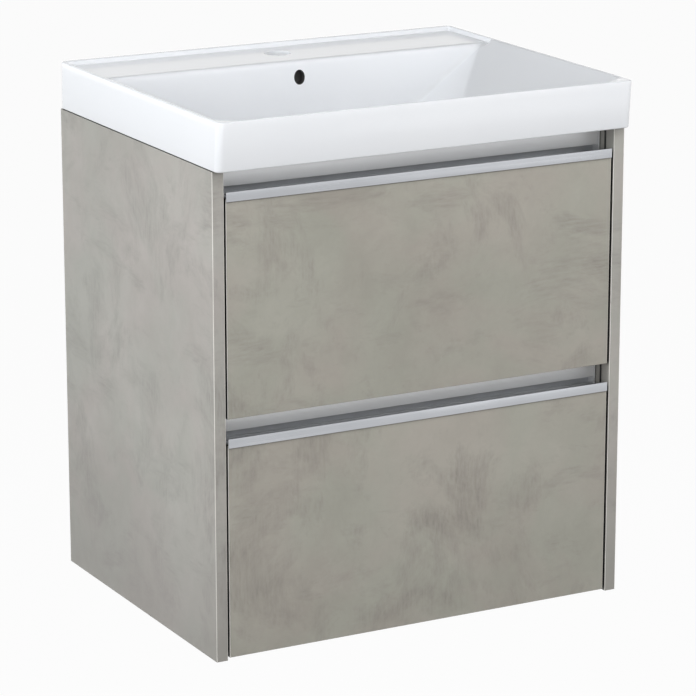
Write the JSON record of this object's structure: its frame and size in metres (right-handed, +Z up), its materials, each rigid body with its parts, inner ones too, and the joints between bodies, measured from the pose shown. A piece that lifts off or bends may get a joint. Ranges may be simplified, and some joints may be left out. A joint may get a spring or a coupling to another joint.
{
  "type": "bathroom vanity cabinet",
  "caption": "Wall-hung bathroom vanity: full-width drawers with recessed aluminium grips under a rectangular ceramic washbasin with a sloping bowl.",
  "frame": {"origin": "on the wall, at the middle of the wall rail's back face, 578 mm above the side panels' lower edge", "axes": "+Z up, +X to the right as a user faces the drawers, +Y into the wall, so the drawers open along -Y"},
  "size_m": [0.601, 0.4795, 0.7027],
  "materials": {
    "concrete_decor_board": "matt melamine with a warm grey concrete look",
    "carcass_board": "matt melamine",
    "basin_ceramic": "gloss white glaze",
    "aluminium_profile": "satin anodised",
    "profile_end_cap": "light grey, matt",
    "seal_rubber": "black, matt",
    "drawer_steel": "anthracite powder coat",
    "drawer_board": "light grey melamine",
    "zinc_steel": "zinc plated"
  },
  "bodies": {
    "cabinet": {"bottom_panel": "carcass_board", "bracket_adjuster_left": "zinc_steel", "bracket_adjuster_right": "zinc_steel", "edge_seal_left": "seal_rubber", "edge_seal_right": "seal_rubber", "front_rail_middle": "carcass_board", "front_rail_top": "carcass_board", "grip_channel_middle": "aluminium_profile", "grip_channel_middle_cap_left": "profile_end_cap", "grip_channel_middle_cap_right": "profile_end_cap", "grip_channel_top": "aluminium_profile", "grip_channel_top_cap_left": "profile_end_cap", "grip_channel_top_cap_right": "profile_end_cap", "hanging_bracket_left": "zinc_steel", "hanging_bracket_right": "zinc_steel", "hanging_hook_left": "zinc_steel", "hanging_hook_right": "zinc_steel", "lower_runner_cabinet_left": "zinc_steel", "lower_runner_cabinet_right": "zinc_steel", "rear_rail_bottom": "carcass_board", "rear_rail_top": "carcass_board", "side_panel_left": "concrete_decor_board", "side_panel_right": "concrete_decor_board", "upper_runner_cabinet_left": "zinc_steel", "upper_runner_cabinet_right": "zinc_steel", "wall_rail": "zinc_steel", "washbasin": "basin_ceramic"},
    "upper_drawer": {"upper_front_panel": "concrete_decor_board", "upper_handle_profile": "aluminium_profile", "upper_drawer_side_left": "drawer_steel", "upper_drawer_side_right": "drawer_steel", "upper_front_bracket_left": "zinc_steel", "upper_front_bracket_right": "zinc_steel", "upper_drawer_bottom": "drawer_board", "upper_drawer_back_left": "drawer_board", "upper_drawer_back_right": "drawer_board", "siphon_surround": "drawer_board", "upper_runner_drawer_left": "zinc_steel", "upper_runner_drawer_right": "zinc_steel"},
    "lower_drawer": {"lower_front_panel": "concrete_decor_board", "lower_handle_profile": "aluminium_profile", "lower_drawer_side_left": "drawer_steel", "lower_drawer_side_right": "drawer_steel", "lower_front_bracket_left": "zinc_steel", "lower_front_bracket_right": "zinc_steel", "lower_drawer_bottom": "drawer_board", "lower_drawer_back": "drawer_board", "lower_runner_drawer_left": "zinc_steel", "lower_runner_drawer_right": "zinc_steel"},
    "upper_carriage_left": {"upper_runner_middle_left": "zinc_steel"},
    "upper_carriage_right": {"upper_runner_middle_right": "zinc_steel"},
    "lower_carriage_left": {"lower_runner_middle_left": "zinc_steel"},
    "lower_carriage_right": {"lower_runner_middle_right": "zinc_steel"}
  },
  "joints": [
    {"name": "upper_drawer_slide", "type": "slide", "parent": "cabinet", "child": "upper_drawer", "axis": [0, -1, 0], "range_m": [0, 0.39]},
    {"name": "lower_drawer_slide", "type": "slide", "parent": "cabinet", "child": "lower_drawer", "axis": [0, -1, 0], "range_m": [0, 0.39]},
    {"name": "upper_runner_slide_left", "type": "slide", "parent": "cabinet", "child": "upper_carriage_left", "axis": [0, -1, 0], "range_m": [0, 0.195]},
    {"name": "upper_runner_slide_right", "type": "slide", "parent": "cabinet", "child": "upper_carriage_right", "axis": [0, -1, 0], "range_m": [0, 0.195]},
    {"name": "lower_runner_slide_left", "type": "slide", "parent": "cabinet", "child": "lower_carriage_left", "axis": [0, -1, 0], "range_m": [0, 0.195]},
    {"name": "lower_runner_slide_right", "type": "slide", "parent": "cabinet", "child": "lower_carriage_right", "axis": [0, -1, 0], "range_m": [0, 0.195]}
  ],
  "couplings": [
    {"joint": "upper_runner_slide_left", "follows": "upper_drawer_slide", "ratio": 0.5},
    {"joint": "upper_runner_slide_right", "follows": "upper_drawer_slide", "ratio": 0.5},
    {"joint": "lower_runner_slide_left", "follows": "lower_drawer_slide", "ratio": 0.5},
    {"joint": "lower_runner_slide_right", "follows": "lower_drawer_slide", "ratio": 0.5}
  ]
}
